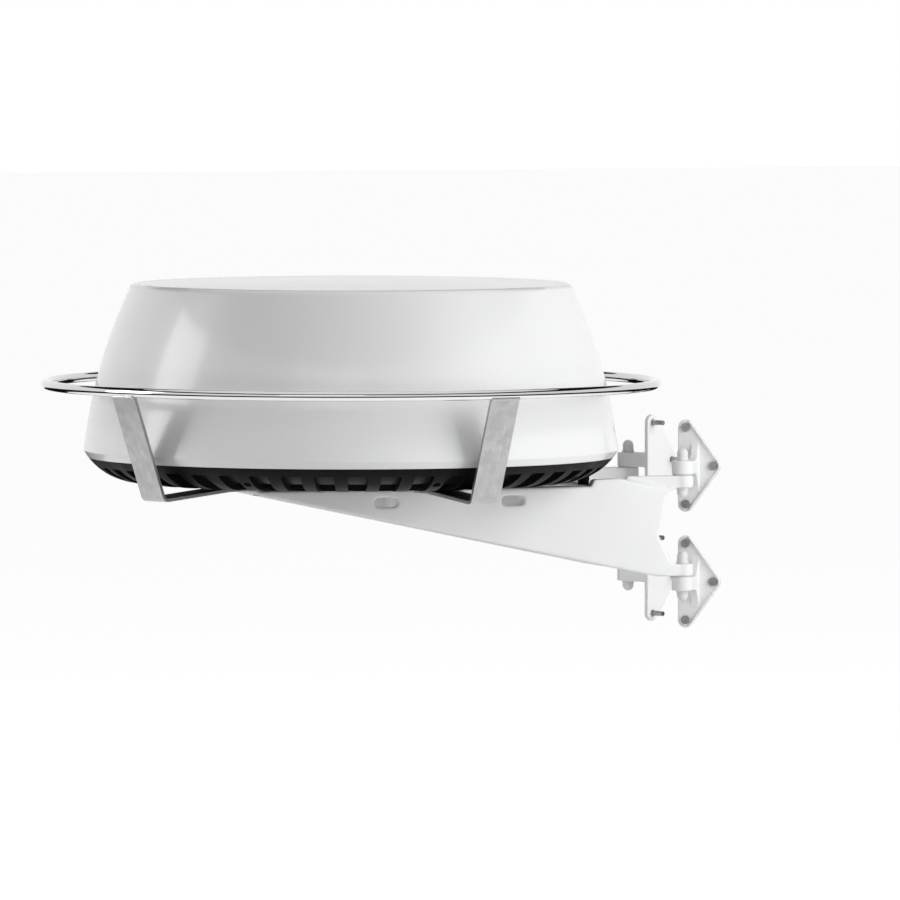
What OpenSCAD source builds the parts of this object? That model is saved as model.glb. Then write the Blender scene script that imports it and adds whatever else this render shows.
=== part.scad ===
/* [Radome] */
// Radius of the cover at its crease
crease_r = 271; // [262:1:280]
// Height of the crease above the base underside
crease_z = 32; // [30:0.5:36]
// Radius of the round belly that runs from the flat underside to the crease
belly_r = 62.5; // [60:0.5:68]
// Radius of the long arc of the cover's side
side_r = 520; // [480:10:640]
// Lean of the cover's side at the crease, in degrees from upright
side_lean = 6.5; // [5:0.25:8]
// Height of the middle of the cover above the base underside
cover_top_z = 205; // [198:1:215]
// Radius of the shallow crown
crown_r = 5200; // [4000:100:9000]
// Radius of the edge between side and crown
edge_r = 7; // [6:0.5:9]
// Wall of the cover
cover_wall = 3.5; // [3:0.25:4.5]
// Height of the joint between cover and base
split_z = 24.8; // [23:0.2:27]
// Depth of the flange inside the joint
flange_w = 26; // [25:0.5:27]
// Thickness of the cover's flange
flange_t = 4; // [3.5:0.25:5]

/* [Base housing] */
// Number of slots around the belly
slot_count = 48; // [32:4:56]
// Share of the pitch taken by a slot
slot_share = 0.6; // [0.5:0.02:0.66]
// Depth of a slot
slot_depth = 7; // [5:0.5:8]
// Wall behind the slots
base_back = 3; // [2.5:0.25:3.5]
// Height of a slot's upper end
slot_top_z = 16.6; // [14:0.2:18]
// Radius at which a slot runs out under the base
slot_inner_r = 204; // [196:1:208]
// Thickness of the base floor
floor_t = 4; // [3.5:0.25:5]
// Height of the four boss faces that the base stands on
boss_drop = 1; // [1:0.25:2]
// Radius of a mounting boss
boss_r = 15; // [13:0.5:16]
// Gasket radius at its middle
gasket_r = 253; // [252:0.25:254]
// Gasket width
gasket_w = 4; // [3:0.25:5]
// Gasket height
gasket_h = 2; // [1.5:0.25:2.5]
// Number of screws that close the cover
cover_screw_count = 8; // [6:2:8]
// Radius of the circle of cover screws
cover_screw_pcd_r = 246; // [245.5:0.25:246.5]

/* [Radome fixing] */
// Hole spacing along the arm
bolt_dx = 233; // [220:1:240]
// Hole spacing across the arm
bolt_dy = 141.5; // [136:0.5:146]
// Radius of the radome bolts
bolt_r = 4; // [3.5:0.25:4.5]
// Length of an insert
insert_len = 18; // [16:1:20]
// Radius of an insert
insert_r = 6.5; // [6:0.25:7.5]
// Radius of a bolt's countersunk head
bolt_head_r = 7.5; // [7:0.25:8]

/* [Guard] */
// Radius of the hoop to the middle of its tube
hoop_r = 309.3; // [302:0.5:316]
// Radius of the hoop's tube
hoop_tube_r = 4.9; // [4:0.1:6]
// Height of the hoop above the middle of the feet
hoop_z = 145; // [135:1:155]
// Width of a strap
strap_w = 32; // [26:1:34]
// Thickness of a strap
strap_t = 3.5; // [3:0.25:4]
// Radius at which a strap folds under the base
strap_fold_r = 270; // [266:1:274]
// Inner radius of the fold
fold_r = 4; // [3:0.5:6]
// Radius at which a strap foot turns towards its bolt
strap_turn_r = 165; // [158:1:170]
// Fall of a strap's foot towards its fold, in degrees
strap_fall = 4.8; // [3:0.2:6]
// Bearing of the front port strap, from the arm's axis
strap_front_deg = -153.4; // [-157:0.2:-152]
// Bearing of the rear port strap, from the arm's axis
strap_rear_deg = -77; // [-80:0.5:-72]
// Bearing of the rear starboard strap
strap_rear_starboard_deg = 42; // [40:0.5:46]
// Bearing of the front starboard strap
strap_front_starboard_deg = 104; // [100:0.5:112]

/* [Mast bracket] */
// Distance from the hinge pins to the middle of the radome
reach = 324; // [316:1:340]
// Distance between port and starboard pins
pin_span = 180; // [176:1:190]
// Distance between the middles of the upper and lower feet
foot_spacing = 118; // [114:1:124]
// Height of the deck above the middle of the feet
deck_z = 41.5; // [39.5:0.5:43]
// Thickness of the deck and cheeks
cast_t = 6; // [5:0.25:7]
// Distance from the line of the radome bolts out to the cheeks' faces
cheek_out = 22.25; // [21.5:0.25:24]
// How far the deck runs past the radome's middle, away from the mast
deck_front = 129; // [127:1:134]
// Distance from the pins at which the lower edge levels out
level_at = 30.5; // [26:0.5:34]
// Thickness of the tip
tip_t = 3; // [2.5:0.25:4]
// Width of the flare along the lower edge
flare_w = 10; // [7:0.5:11]
// Radius of the flare's rolled edge
lip_edge_r = 6; // [4:0.5:6.5]
// Thickness of an arm's lug
arm_lug_t = 12.5; // [11:0.25:13]
// Radius of the lugs
lug_r = 11; // [10:0.25:12]
// Distance from the pins to the middle of the C-shaped gap's edge
gap_depth = 27; // [24:1:32]
// Distance from the radome's middle to the step in the cheeks' top
step_at = 224; // [220:1:228]
// Half length of the opening in the deck between the front bolts and the rear ones
deck_window_l = 54; // [46:1:60]
// Half width of that opening
deck_window_w = 48; // [40:1:52]
// Distance from the radome's middle to the opening that the cable comes down through
inlet_window_at = 160; // [154:1:164]
// Length of that opening
inlet_window_l = 74; // [68:1:78]
// Width of the bridge behind it
bridge_w = 16; // [12:1:20]

/* [Hinged feet] */
// Radius of a hinge pin
pin_r = 4; // [3.5:0.1:4.5]
// Thickness of a foot's lug
foot_lug_t = 14; // [12:0.25:15]
// Thickness of the washer between lugs
lug_washer_t = 1; // [0.8:0.1:1.5]
// Distance from the pin to the face that meets the mast
foot_reach = 38.6; // [36:0.2:44]
// Angle of a foot from square across the arm
foot_deg = 28; // [22:1:34]
// Thickness of a foot's plate
plate_t = 5; // [4:0.25:6]
// Distance between the upper and lower screws of a foot
plate_hole_h = 78; // [72:1:84]
// Sideways distance to the third screw
plate_hole_w = 28; // [25:0.5:32]
// Sideways place of the upper and lower screws from the pin
plate_hole_x = -2.8; // [-5:0.2:-1]
// Corner radius of a foot's plate
plate_corner_r = 8; // [7:0.25:9]
// Radius of a foot screw
foot_screw_r = 2.5; // [2:0.1:3]
// Length of a foot screw behind its plate
foot_screw_bite = 14; // [10:1:20]
// Radius of a pin cap
cap_r = 5.6; // [5.2:0.1:6.5]
// Height of an upper cap
cap_h = 12.8; // [11:0.2:14]
// Height of a lower cap
low_cap_h = 10.4; // [9:0.2:12]

/* [Antenna drive] */
// Module of the gear pair
gear_m = 1.5; // [1.5:0.05:1.6]
// Teeth of the driven gear
gear_teeth = 72; // [70:1:74]
// Teeth of the pinion
pinion_teeth = 18; // [17:1:20]
// Width of the gears
gear_w = 8; // [6:0.5:8]
// Radius of the spindle
spindle_r = 10; // [9:0.25:10.5]
// Bore radius of the spindle
spindle_bore_r = 6; // [5:0.25:6.5]
// Radius over a bearing
bearing_r = 19; // [18.5:0.25:20]
// Width of a bearing
bearing_w = 9; // [8:0.5:10]
// Radius of a bearing ball
ball_r = 2; // [1.8:0.1:2.1]
// Radius of the chassis plate
chassis_r = 118; // [115:0.5:119]
// Thickness of the chassis plate
chassis_t = 3; // [2.5:0.25:4]
// Length of the antenna array
array_len = 440; // [400:5:450]
// Height of the antenna array
array_h = 62; // [50:1:66]
// Radius of the motor
motor_r = 21; // [19:0.5:22]

/* [Hidden] */
$fn = 96;

// Clearances
slip = 0.05;    // parts that are assembled and then stay put
run = 0.04;     // a turning part on its shaft
thread = 0.02;  // a screw in its thread
seat = 0.3;     // parts of different bodies that pass each other
eps = 0.01;     // overshoot of a cut
far = 1000;     // larger than anything here
blend = 0.01;   // an arc stops this short of the straight edges that it joins

// Heights of the stack that carries the radome
boss_face_z = deck_z + strap_t;
base_z = boss_face_z + boss_drop;

// Radome section: centres of its arcs, measured from the base underside on the radome's axis
belly_x = crease_r - sqrt(belly_r * belly_r - pow(belly_r - crease_z, 2));
side_c = [crease_r - side_r * cos(side_lean), crease_z - side_r * sin(side_lean)];
crown_c = [0, cover_top_z - crown_r];
base_inset = slot_depth + base_back;
lip_r = belly_at(split_z, 0);
bolt_places = [for (x = [-1, 1], y = [-1, 1]) [x * bolt_dx / 2, y * bolt_dy / 2]];

// Radius of the belly at a height, set in by a wall
function belly_at(z, inset) =
  belly_x + sqrt(pow(belly_r - inset, 2) - pow(belly_r - z, 2));

// Where two circles cross, on the side away from the axis
function circles_meet(a, ra, b, rb) =
  let (d = norm(b - a), u = (b - a) / d, along = (ra * ra - rb * rb + d * d) / (2 * d),
       off = sqrt(ra * ra - along * along))
  a + along * u + off * [-u[1], u[0]] * (u[1] < 0 ? 1 : -1);

// Centre of the edge arc, which touches the side arc and the crown from inside
edge_c = circles_meet(side_c, side_r - edge_r, crown_c, crown_r - edge_r);

function unit(v) = v / norm(v);
function corner(p, i) = [p[(i + len(p) - 1) % len(p)], p[i], p[(i + 1) % len(p)]];
function half_angle(c) = acos(unit(c[0] - c[1]) * unit(c[2] - c[1])) / 2;
function corner_centre(c, r) =
  c[1] + unit(unit(c[0] - c[1]) + unit(c[2] - c[1])) * r / sin(half_angle(c));
function corner_ends(c, r) =
  [for (q = [c[0], c[2]]) c[1] + unit(q - c[1]) * r / tan(half_angle(c))];

// Convex outline with round corners, its radii in the order of its points
module rounded(points, radii) {
  polygon([for (i = [0:len(points) - 1]) for (e = corner_ends(corner(points, i), radii[i])) e]);
  for (i = [0:len(points) - 1])
    if (radii[i] > 0) translate(corner_centre(corner(points, i), radii[i])) circle(r = radii[i] - blend);
}

module at_radome() { translate([-reach, 0, base_z]) children(); }
module at_bolts() { for (p = bolt_places) translate([p[0], p[1], 0]) children(); }
module ring(r_out, r_in, h) {
  difference() {
    cylinder(r = r_out, h = h);
    translate([0, 0, -eps]) cylinder(r = r_in, h = h + 2 * eps);
  }
}

// ---- Radome ----

// Half section of the belly, from the underside up to the crease, set in by a wall
module belly_section(inset) {
  floor_end = [belly_x, inset];
  crease = [belly_at(crease_z, inset), crease_z];
  out = unit([crease[1] - floor_end[1], floor_end[0] - crease[0]]);
  polygon([[0, inset], floor_end, crease, [0, crease_z]]);
  intersection() {
    translate([belly_x, belly_r]) circle(r = belly_r - inset, $fn = 192);
    polygon([floor_end - 3 * out, floor_end + 40 * out, crease + 40 * out, crease - 3 * out]);
  }
}

// Half section of the closed radome, set in from the outside by a wall
module radome_section(inset) {
  side_end = side_c + unit(edge_c - side_c) * (side_r - inset);
  crown_end = crown_c + unit(edge_c - crown_c) * (crown_r - inset);
  intersection() {
    union() {
      belly_section(inset);
      translate([0, crease_z]) square([crease_r + 5, cover_top_z + 5 - crease_z]);
    }
    translate(side_c) circle(r = side_r - inset, $fn = 360);
    translate(crown_c) circle(r = crown_r - inset, $fn = 720);
    union() {
      difference() {
        square([crease_r + 5, cover_top_z + 5]);
        polygon([edge_c, side_end, side_end + [far, 0], crown_end + [far, far],
                 crown_end + [0, far], crown_end]);
      }
      translate(edge_c) circle(r = edge_r - inset);
    }
  }
}

module upper_half() { translate([0, split_z]) square([far, far]); }

module at_cover_screws() {
  for (i = [0:cover_screw_count - 1])
    rotate(i * 360 / cover_screw_count + 180 / slot_count) translate([cover_screw_pcd_r, 0, 0]) children();
}

cover_boss_h = 10;
cover_screw_r = 2;
cover_screw_head_r = 3.6;
cover_screw_head_h = 3;
cover_screw_seat_z = 15;

module dome_cover() color("white") at_radome() difference() {
  union() {
    rotate_extrude($fn = 180) {
      difference() {
        intersection() { radome_section(0); upper_half(); }
        radome_section(cover_wall);
      }
      intersection() {
        radome_section(0);
        translate([lip_r - flange_w, split_z]) square([flange_w, flange_t]);
      }
    }
    at_cover_screws() translate([0, 0, split_z]) cylinder(r = 4.5, h = cover_boss_h);
  }
  at_cover_screws() translate([0, 0, split_z - eps])
    cylinder(r = cover_screw_r + thread, h = cover_boss_h - 1);
}

inlet_r = 190;
inlet_bore_r = 9;
inlet_body_r = 13;
inlet_drop = 4;
module at_inlet() { translate([inlet_r, 0, 0]) children(); }
breather_r = 6;
breather_stem_r = 2.5;
module at_breather() { rotate(-900 / slot_count) translate([235.5, 0, 0]) children(); }

chassis_z = 18;
post_r = 5;
post_place_r = 108;
post_count = 6;
chassis_screw_r = 2;
module at_posts() {
  for (i = [0:post_count - 1]) rotate(30 + i * 360 / post_count) translate([post_place_r, 0, 0]) children();
}

// One slot: a wedge of the belly's skin, cut to a depth
module slot_cut() {
  angle = 360 / slot_count * slot_share;
  rotate(-angle / 2) rotate_extrude(angle = angle, $fn = 96) intersection() {
    difference() {
      union() {
        translate([belly_x, belly_r]) circle(r = belly_r + 2, $fn = 192);
        translate([slot_inner_r, -2]) square([belly_x - slot_inner_r, belly_r]);
      }
      union() {
        translate([belly_x, belly_r]) circle(r = belly_r - slot_depth, $fn = 192);
        translate([0, floor_t - 1.5]) square([belly_x, belly_r]);
      }
    }
    translate([slot_inner_r, -2]) square([far, slot_top_z + 2]);
  }
}

module base_housing() color("#26282a") at_radome() difference() {
  union() {
    difference() {
      rotate_extrude($fn = 180) difference() {
        intersection() { belly_section(0); square([crease_r, split_z]); }
        intersection() {
          belly_section(base_inset);
          square([lip_r - flange_w, far]);
        }
        translate([0, floor_t]) square([slot_inner_r - 4, far]);
      }
      for (i = [0:slot_count - 1]) rotate((i + 0.5) * 360 / slot_count + 180 / slot_count) slot_cut();
    }
    at_bolts() translate([0, 0, -boss_drop]) cylinder(r = boss_r, h = insert_len + boss_drop + 4);
    at_posts() cylinder(r = post_r, h = chassis_z);
    at_inlet() translate([0, 0, -inlet_drop]) cylinder(r = inlet_body_r, h = inlet_drop + 22);
    at_breather() cylinder(r = breather_r, h = base_inset + 1);
  }
  translate([0, 0, split_z - gasket_h]) difference() {
    cylinder(r = gasket_r + gasket_w / 2 + slip, h = far);
    translate([0, 0, -eps]) cylinder(r = gasket_r - gasket_w / 2 - slip, h = far);
  }
  at_cover_screws() {
    translate([0, 0, -far / 2]) cylinder(r = cover_screw_r + 0.3, h = far);
    translate([0, 0, cover_screw_seat_z - far]) cylinder(r = cover_screw_head_r + 0.4, h = far);
  }
  at_bolts() translate([0, 0, -boss_drop - eps]) cylinder(r = insert_r + thread, h = insert_len + eps);
  at_posts() translate([0, 0, chassis_z - 9]) cylinder(r = chassis_screw_r + thread, h = 10);
  at_inlet() translate([0, 0, -far / 2]) cylinder(r = inlet_bore_r, h = far);
  at_breather() translate([0, 0, -eps]) cylinder(r = breather_stem_r, h = far);
}

module perimeter_gasket() color("#1b1b1b") at_radome()
  translate([0, 0, split_z - gasket_h]) ring(gasket_r + gasket_w / 2, gasket_r - gasket_w / 2, gasket_h);

module cover_screws() color("silver") at_radome() at_cover_screws() {
  difference() {
    translate([0, 0, cover_screw_seat_z - cover_screw_head_h])
      cylinder(r = cover_screw_head_r, h = cover_screw_head_h);
    translate([0, 0, cover_screw_seat_z - cover_screw_head_h - eps]) cylinder(r = 1.6, h = 1.8, $fn = 6);
  }
  translate([0, 0, cover_screw_seat_z - eps]) cylinder(r = cover_screw_r, h = split_z + 7 - cover_screw_seat_z);
}

module mounting_inserts() color("#b8923a") at_radome() at_bolts()
  translate([0, 0, -boss_drop]) ring(insert_r, bolt_r + thread, insert_len);

module breather_plug() color("#3a3c3e") at_radome() at_breather() difference() {
  union() {
    translate([0, 0, -3.4]) cylinder(r = breather_r - 0.4, h = 3.4);
    translate([0, 0, -eps]) cylinder(r = breather_stem_r - slip, h = split_z - 2);
  }
  translate([0, 0, -4]) cylinder(r = 1, h = far);
}

inlet_tube_r = inlet_bore_r - slip;
inlet_top_z = 27;
module cable_inlet() color("#1e1f20") at_radome() at_inlet() difference() {
  union() {
    translate([0, 0, -inlet_drop - 3]) cylinder(r = 12, h = 3);
    translate([0, 0, -inlet_drop - eps]) cylinder(r = inlet_tube_r, h = inlet_top_z + inlet_drop);
  }
  translate([0, 0, -inlet_drop - 3 - eps]) cylinder(r = 6, h = 18);
}
module inlet_nut() color("#8f8f8f") at_radome() at_inlet() translate([0, 0, 22])
  ring(12.5, inlet_bore_r + slip, 4);

// ---- Antenna drive ----

housing_base_z = chassis_z + chassis_t;
housing_flange_r = 33;
housing_r = bearing_r + 5;
bearing_low_z = housing_base_z + 6;
bearing_gap = 16;
bearing_top_z = bearing_low_z + bearing_w + bearing_gap;
housing_top_z = bearing_top_z + bearing_w;
gear_hub_z = housing_top_z + 2;
gear_z = gear_hub_z + 3;
gear_hub_h = 12;
carrier_z = gear_hub_z + gear_hub_h;
carrier_t = 4;
spindle_flange_r = 22;
gear_centres = gear_m * (gear_teeth + pinion_teeth) / 2;
motor_top_z = gear_z - 4;
shaft_r = 4;
race_mid_r = (bearing_r + spindle_r) / 2;
race_gap = ball_r + 0.1;

module at_housing_screws() {
  for (i = [0:3]) rotate(45 + 90 * i) translate([housing_flange_r - 5, 0, 0]) children();
}
module at_motor() { rotate(-60) translate([gear_centres, 0, 0]) children(); }
motor_foot = 25;
module at_motor_screws() {
  at_motor() for (x = [-1, 1], y = [-1, 1]) translate([x * (motor_foot - 5), y * (motor_foot - 5), 0])
    children();
}

module chassis_plate() color("#a9adb0") at_radome() translate([0, 0, chassis_z]) difference() {
  cylinder(r = chassis_r, h = chassis_t);
  at_posts() translate([0, 0, -eps]) cylinder(r = chassis_screw_r + 0.3, h = far);
  at_housing_screws() translate([0, 0, -eps]) cylinder(r = 1.5 + thread, h = far);
  at_motor_screws() translate([0, 0, -eps]) cylinder(r = 1.5 + thread, h = far);
}

module chassis_screws() color("silver") at_radome() {
  at_posts() {
    translate([0, 0, chassis_z + chassis_t]) cylinder(r = 3.5, h = 2.5);
    translate([0, 0, chassis_z + chassis_t - 10]) cylinder(r = chassis_screw_r, h = 10 + eps);
  }
  at_housing_screws() {
    translate([0, 0, housing_base_z + 4]) cylinder(r = 2.8, h = 2);
    translate([0, 0, chassis_z]) cylinder(r = 1.5, h = housing_base_z + 4 - chassis_z + eps);
  }
}

module spindle_housing() color("#b4b8ba") at_radome() difference() {
  union() {
    translate([0, 0, housing_base_z]) cylinder(r = housing_flange_r, h = 4);
    translate([0, 0, housing_base_z]) cylinder(r = housing_r, h = housing_top_z - housing_base_z);
  }
  translate([0, 0, housing_base_z - eps]) cylinder(r = bearing_r - 2, h = far);
  translate([0, 0, housing_base_z - eps])
    cylinder(r = bearing_r, h = bearing_low_z + bearing_w - housing_base_z + eps);
  translate([0, 0, bearing_top_z]) cylinder(r = bearing_r, h = bearing_w + 1);
  at_housing_screws() cylinder(r = 1.8, h = far);
}

module at_bearings() { for (z = [bearing_low_z, bearing_top_z]) translate([0, 0, z]) children(); }
module bearing_outer_races() color("silver") at_radome() at_bearings()
  ring(bearing_r - thread, race_mid_r + race_gap, bearing_w);
module bearing_inner_races() color("silver") at_radome() at_bearings()
  ring(race_mid_r - race_gap, spindle_r + thread, bearing_w);
module bearing_balls() color("#d0d4d8") at_radome() at_bearings()
  for (i = [0:11]) rotate(i * 30) translate([race_mid_r, 0, bearing_w / 2]) sphere(r = ball_r);

module antenna_spindle() color("#9aa0a4") at_radome() difference() {
  union() {
    translate([0, 0, bearing_low_z - 3]) cylinder(r = spindle_r, h = carrier_z - bearing_low_z + 3);
    translate([0, 0, carrier_z]) cylinder(r = spindle_flange_r, h = carrier_t);
    translate([0, 0, bearing_low_z + bearing_w + thread])
      cylinder(r = spindle_r + 1.6, h = bearing_gap - 2 * thread);
  }
  translate([0, 0, bearing_low_z - 4]) cylinder(r = spindle_bore_r, h = far);
  translate([0, 0, bearing_low_z - 1.6]) ring(spindle_r + 1, spindle_r - 0.8, 1.2);
  at_carrier_screws() translate([0, 0, carrier_z - eps]) cylinder(r = 2 + thread, h = far);
}
module spindle_circlip() color("#55585a") at_radome() translate([0, 0, bearing_low_z - 1.5])
  ring(spindle_r + 2, spindle_r - 0.75, 1);

// Involute gear outline: half the tooth angle at a radius, then its flanks
function inv(a) = tan(a) * 180 / PI - a;
pressure = 20;
backlash = 0.24;
flank_steps = 3;
function tooth_half(n, r) =
  let (rp = gear_m * n / 2, rb = rp * cos(pressure))
  90 / n - backlash / 2 / rp * 180 / PI + inv(pressure) - inv(acos(min(1, rb / r)));
function gear_outline(n) =
  let (rp = gear_m * n / 2, rb = rp * cos(pressure), root = rp - 1.25 * gear_m,
       tip = rp + gear_m, start = max(rb, root))
  [for (t = [0:n - 1]) for (k = [0:2 * flank_steps + 3])
    let (up = k <= flank_steps + 1, j = up ? k : 2 * flank_steps + 3 - k,
         r = j == 0 ? root : start + (tip - start) * (j - 1) / flank_steps,
         a = (up ? -1 : 1) * tooth_half(n, max(r, start)) + t * 360 / n)
    r * [cos(a), sin(a)]];

module driven_gear() color("#d9d4c4") at_radome() difference() {
  union() {
    translate([0, 0, gear_z]) linear_extrude(gear_w) polygon(gear_outline(gear_teeth));
    translate([0, 0, gear_hub_z]) cylinder(r = 17, h = gear_hub_h);
  }
  translate([0, 0, gear_hub_z - eps]) cylinder(r = spindle_r + thread, h = far);
  for (i = [0:5]) rotate(i * 60 + 30) translate([33, 0, gear_z - eps]) cylinder(r = 9, h = far);
  rotate(180) translate([magnet_place_r, 0, gear_z - eps]) cylinder(r = 3 + thread, h = 5);
}
magnet_place_r = 46;
module zero_mark_magnet() color("#707478") at_radome() rotate(180)
  translate([magnet_place_r, 0, gear_z]) cylinder(r = 3, h = 4.9);
module zero_mark_sensor() color("#202224") at_radome() rotate(180) difference() {
  translate([magnet_place_r - 5, -4, housing_base_z]) cube([10, 8, gear_z - seat - 1 - housing_base_z]);
  translate([magnet_place_r - 6, -2.5, housing_base_z + 4]) cube([12, 5, 24]);
}

mesh_turn = 180 / pinion_teeth;
module drive_pinion() color("#c9b060") at_radome() at_motor() difference() {
  translate([0, 0, gear_z - 1]) linear_extrude(gear_w + 1)
    rotate(180 + mesh_turn) polygon(gear_outline(pinion_teeth));
  translate([0, 0, gear_z - 2]) cylinder(r = shaft_r + thread, h = far);
}
module motor_shaft() color("#c8ccd0") at_radome() at_motor()
  translate([0, 0, housing_base_z + 8]) cylinder(r = shaft_r, h = gear_z + gear_w + 1 - housing_base_z - 8);
module drive_motor() color("#4a4d50") at_radome() at_motor() difference() {
  union() {
    translate([-motor_foot, -motor_foot, housing_base_z]) cube([2 * motor_foot, 2 * motor_foot, 3]);
    translate([0, 0, housing_base_z]) cylinder(r = motor_r, h = motor_top_z - housing_base_z);
  }
  translate([0, 0, housing_base_z + 7]) cylinder(r = shaft_r + run, h = far);
  for (x = [-1, 1], y = [-1, 1]) translate([x * (motor_foot - 5), y * (motor_foot - 5), 0])
    cylinder(r = 1.8, h = far);
}
module motor_screws() color("silver") at_radome() at_motor_screws() {
  translate([0, 0, housing_base_z + 3]) cylinder(r = 2.8, h = 2);
  translate([0, 0, chassis_z]) cylinder(r = 1.5, h = housing_base_z + 3 - chassis_z + eps);
}

carrier_bar = [34, 190];
carrier_top_z = carrier_z + 2 * carrier_t;
tray_z = carrier_top_z;
tray_t = 16;
module at_carrier_screws() {
  for (i = [0:3]) rotate(45 + 90 * i) translate([16, 0, 0]) children();
}
module at_tray_screws() { for (y = [-80, 80]) translate([0, y, 0]) children(); }
module antenna_carrier() color("#b4b8ba") at_radome() difference() {
  translate([-carrier_bar[0] / 2, -carrier_bar[1] / 2, carrier_z + carrier_t])
    cube([carrier_bar[0], carrier_bar[1], carrier_t]);
  translate([0, 0, carrier_z]) cylinder(r = spindle_bore_r, h = far);
  at_carrier_screws() cylinder(r = 2.3, h = far);
  at_tray_screws() cylinder(r = 2.3, h = far);
}
module carrier_screws() color("silver") at_radome() {
  at_carrier_screws() {
    translate([0, 0, carrier_top_z]) cylinder(r = 3.5, h = 2.5);
    translate([0, 0, carrier_z]) cylinder(r = 2, h = carrier_top_z - carrier_z + eps);
  }
  at_tray_screws() {
    translate([0, 0, carrier_z + carrier_t - 2.5]) cylinder(r = 3.5, h = 2.5);
    translate([0, 0, carrier_z + carrier_t - eps]) cylinder(r = 2, h = carrier_t + 7);
  }
}

// The tray is an upright channel on the carrier: a foot, a back and two ends
tray_wall = 2.5;
tray_gap = 44;
module array_tray() color("#c4c8cb") at_radome() translate([0, 0, tray_z]) difference() {
  translate([-tray_t / 2, -array_len / 2, 0]) cube([tray_t, array_len, array_h]);
  translate([-tray_t / 2 - eps, -array_len / 2 + tray_wall, tray_wall + 6])
    cube([tray_t - tray_wall, array_len - 2 * tray_wall, array_h - 2 * tray_wall - 6]);
  translate([-far / 2, -tray_gap / 2, -eps]) cube([far, tray_gap, 18]);
  at_tray_screws() translate([0, 0, -eps]) cylinder(r = 2 + thread, h = 7.5);
}
module array_face() color("#2e6b4a") at_radome() translate([0, 0, tray_z + tray_wall + 6])
  translate([-tray_t / 2, -array_len / 2 + tray_wall + slip, slip]) difference() {
    cube([4, array_len - 2 * tray_wall - 2 * slip, array_h - 2 * tray_wall - 6 - 2 * slip]);
    translate([-eps, array_len / 2 - tray_wall - tray_gap / 2 - 1, -eps]) cube([far, tray_gap + 2, 11]);
  }

joint_r = 3.5;
joint_top_z = carrier_top_z + 9;
module rotary_joint_stator() color("#c9a648") at_radome() {
  translate([0, 0, housing_base_z]) cylinder(r = 12, h = 2.5);
  translate([0, 0, housing_base_z + 2.5 - eps]) cylinder(r = joint_r, h = joint_top_z - housing_base_z - 2.5);
}
module rotary_joint_rotor() color("#d8dadc") at_radome() difference() {
  translate([0, 0, carrier_top_z]) cylinder(r = 8, h = 13);
  translate([0, 0, carrier_top_z - eps]) cylinder(r = joint_r + run, h = 10);
}

board_z = housing_base_z + 5;
module control_board() color("#1f5a3c") at_radome() {
  translate([-55, 42, board_z]) cube([100, 58, 1.6]);
  for (x = [-50, 40], y = [47, 95]) translate([x, y, housing_base_z]) cylinder(r = 2.5, h = board_z - housing_base_z);
  translate([-40, 50, board_z + 1.6]) cube([18, 18, 2]);
  translate([-10, 60, board_z + 1.6]) cube([12, 22, 2]);
  translate([18, 50, board_z + 1.6]) cube([20, 9, 9]);
}
module power_module() color("#2a2c2e") at_radome() translate([-60, -96, housing_base_z]) {
  cube([34, 52, 20]);
  for (i = [0:5]) translate([2 + i * 5.6, 0, 20 - eps]) cube([2, 52, 5]);
}
box_at = [-112, -34];
box_size = [58, 68, 26];
module transceiver_box() color("#a6abae") at_radome() translate([box_at[0], box_at[1], housing_base_z]) difference() {
  cube(box_size);
  translate([3, 3, 3]) cube([box_size[0] - 6, box_size[1] - 6, far]);
}
module transceiver_lid() color("#b4b8bb") at_radome()
  translate([box_at[0], box_at[1], housing_base_z + box_size[2]]) {
    cube([box_size[0], box_size[1], 2]);
    translate([3 + slip, 3 + slip, -2]) cube([box_size[0] - 6 - 2 * slip, box_size[1] - 6 - 2 * slip, 2 + eps]);
  }

// ---- Guard ----

strap_foot_end = strap_turn_r + strap_w / 2;
fold_z = deck_z - (strap_fold_r - strap_foot_end) * tan(strap_fall);
strap_lean = atan2(hoop_r + strap_t / 2 - strap_fold_r, hoop_z - hoop_tube_r - fold_z);
module at_guard() { translate([-reach, 0, 0]) children(); }

module guard_hoop() color("#c9ccce") at_guard() translate([0, 0, hoop_z])
  rotate_extrude($fn = 240) translate([hoop_r, 0]) circle(r = hoop_tube_r, $fn = 48);

// A strap in its own upright plane: leg, round fold and the part of the foot that falls towards it
module strap_side() {
  outer = fold_r + strap_t;
  foot_up = [sin(strap_fall), cos(strap_fall)];
  leg_in = [-cos(strap_lean), sin(strap_lean)];
  heel = [strap_fold_r, fold_z] + outer * (foot_up + leg_in) / (1 + foot_up * leg_in);
  polygon([heel - outer * foot_up, heel - fold_r * foot_up,
           [strap_foot_end + strap_t * tan(strap_fall / 2), deck_z + strap_t],
           [strap_foot_end, deck_z + strap_t], [strap_foot_end, deck_z]]);
  translate(heel) intersection() {
    difference() {
      circle(r = outer);
      circle(r = fold_r);
    }
    rotate(-strap_fall) translate([0, -far]) square([far, far + 1]);
    rotate(-strap_lean) translate([0, -far]) square(far);
  }
  intersection() {
    translate(heel) rotate(-strap_lean) translate([fold_r + blend, -1])
      square([strap_t - 2 * blend, hoop_z]);
    square([far, hoop_z - hoop_tube_r / 2]);
  }
}

// Plan of a strap's foot along +X: in to a mitred turn under the base, then on to its bolt
module strap_foot(bolt) {
  turn = [strap_turn_r, 0];
  v = unit(bolt - turn);
  side_u = [0, -strap_w / 2];
  side_v = [-v[1], v[0]] * strap_w / 2;
  mitre = (side_u + side_v) / (1 - v[0]);
  start = [strap_foot_end, 0];
  polygon([start + side_u, turn + mitre, bolt + side_v, bolt - side_v, turn - mitre, start - side_u]);
  translate(bolt) circle(r = strap_w / 2 - blend);
}

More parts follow.
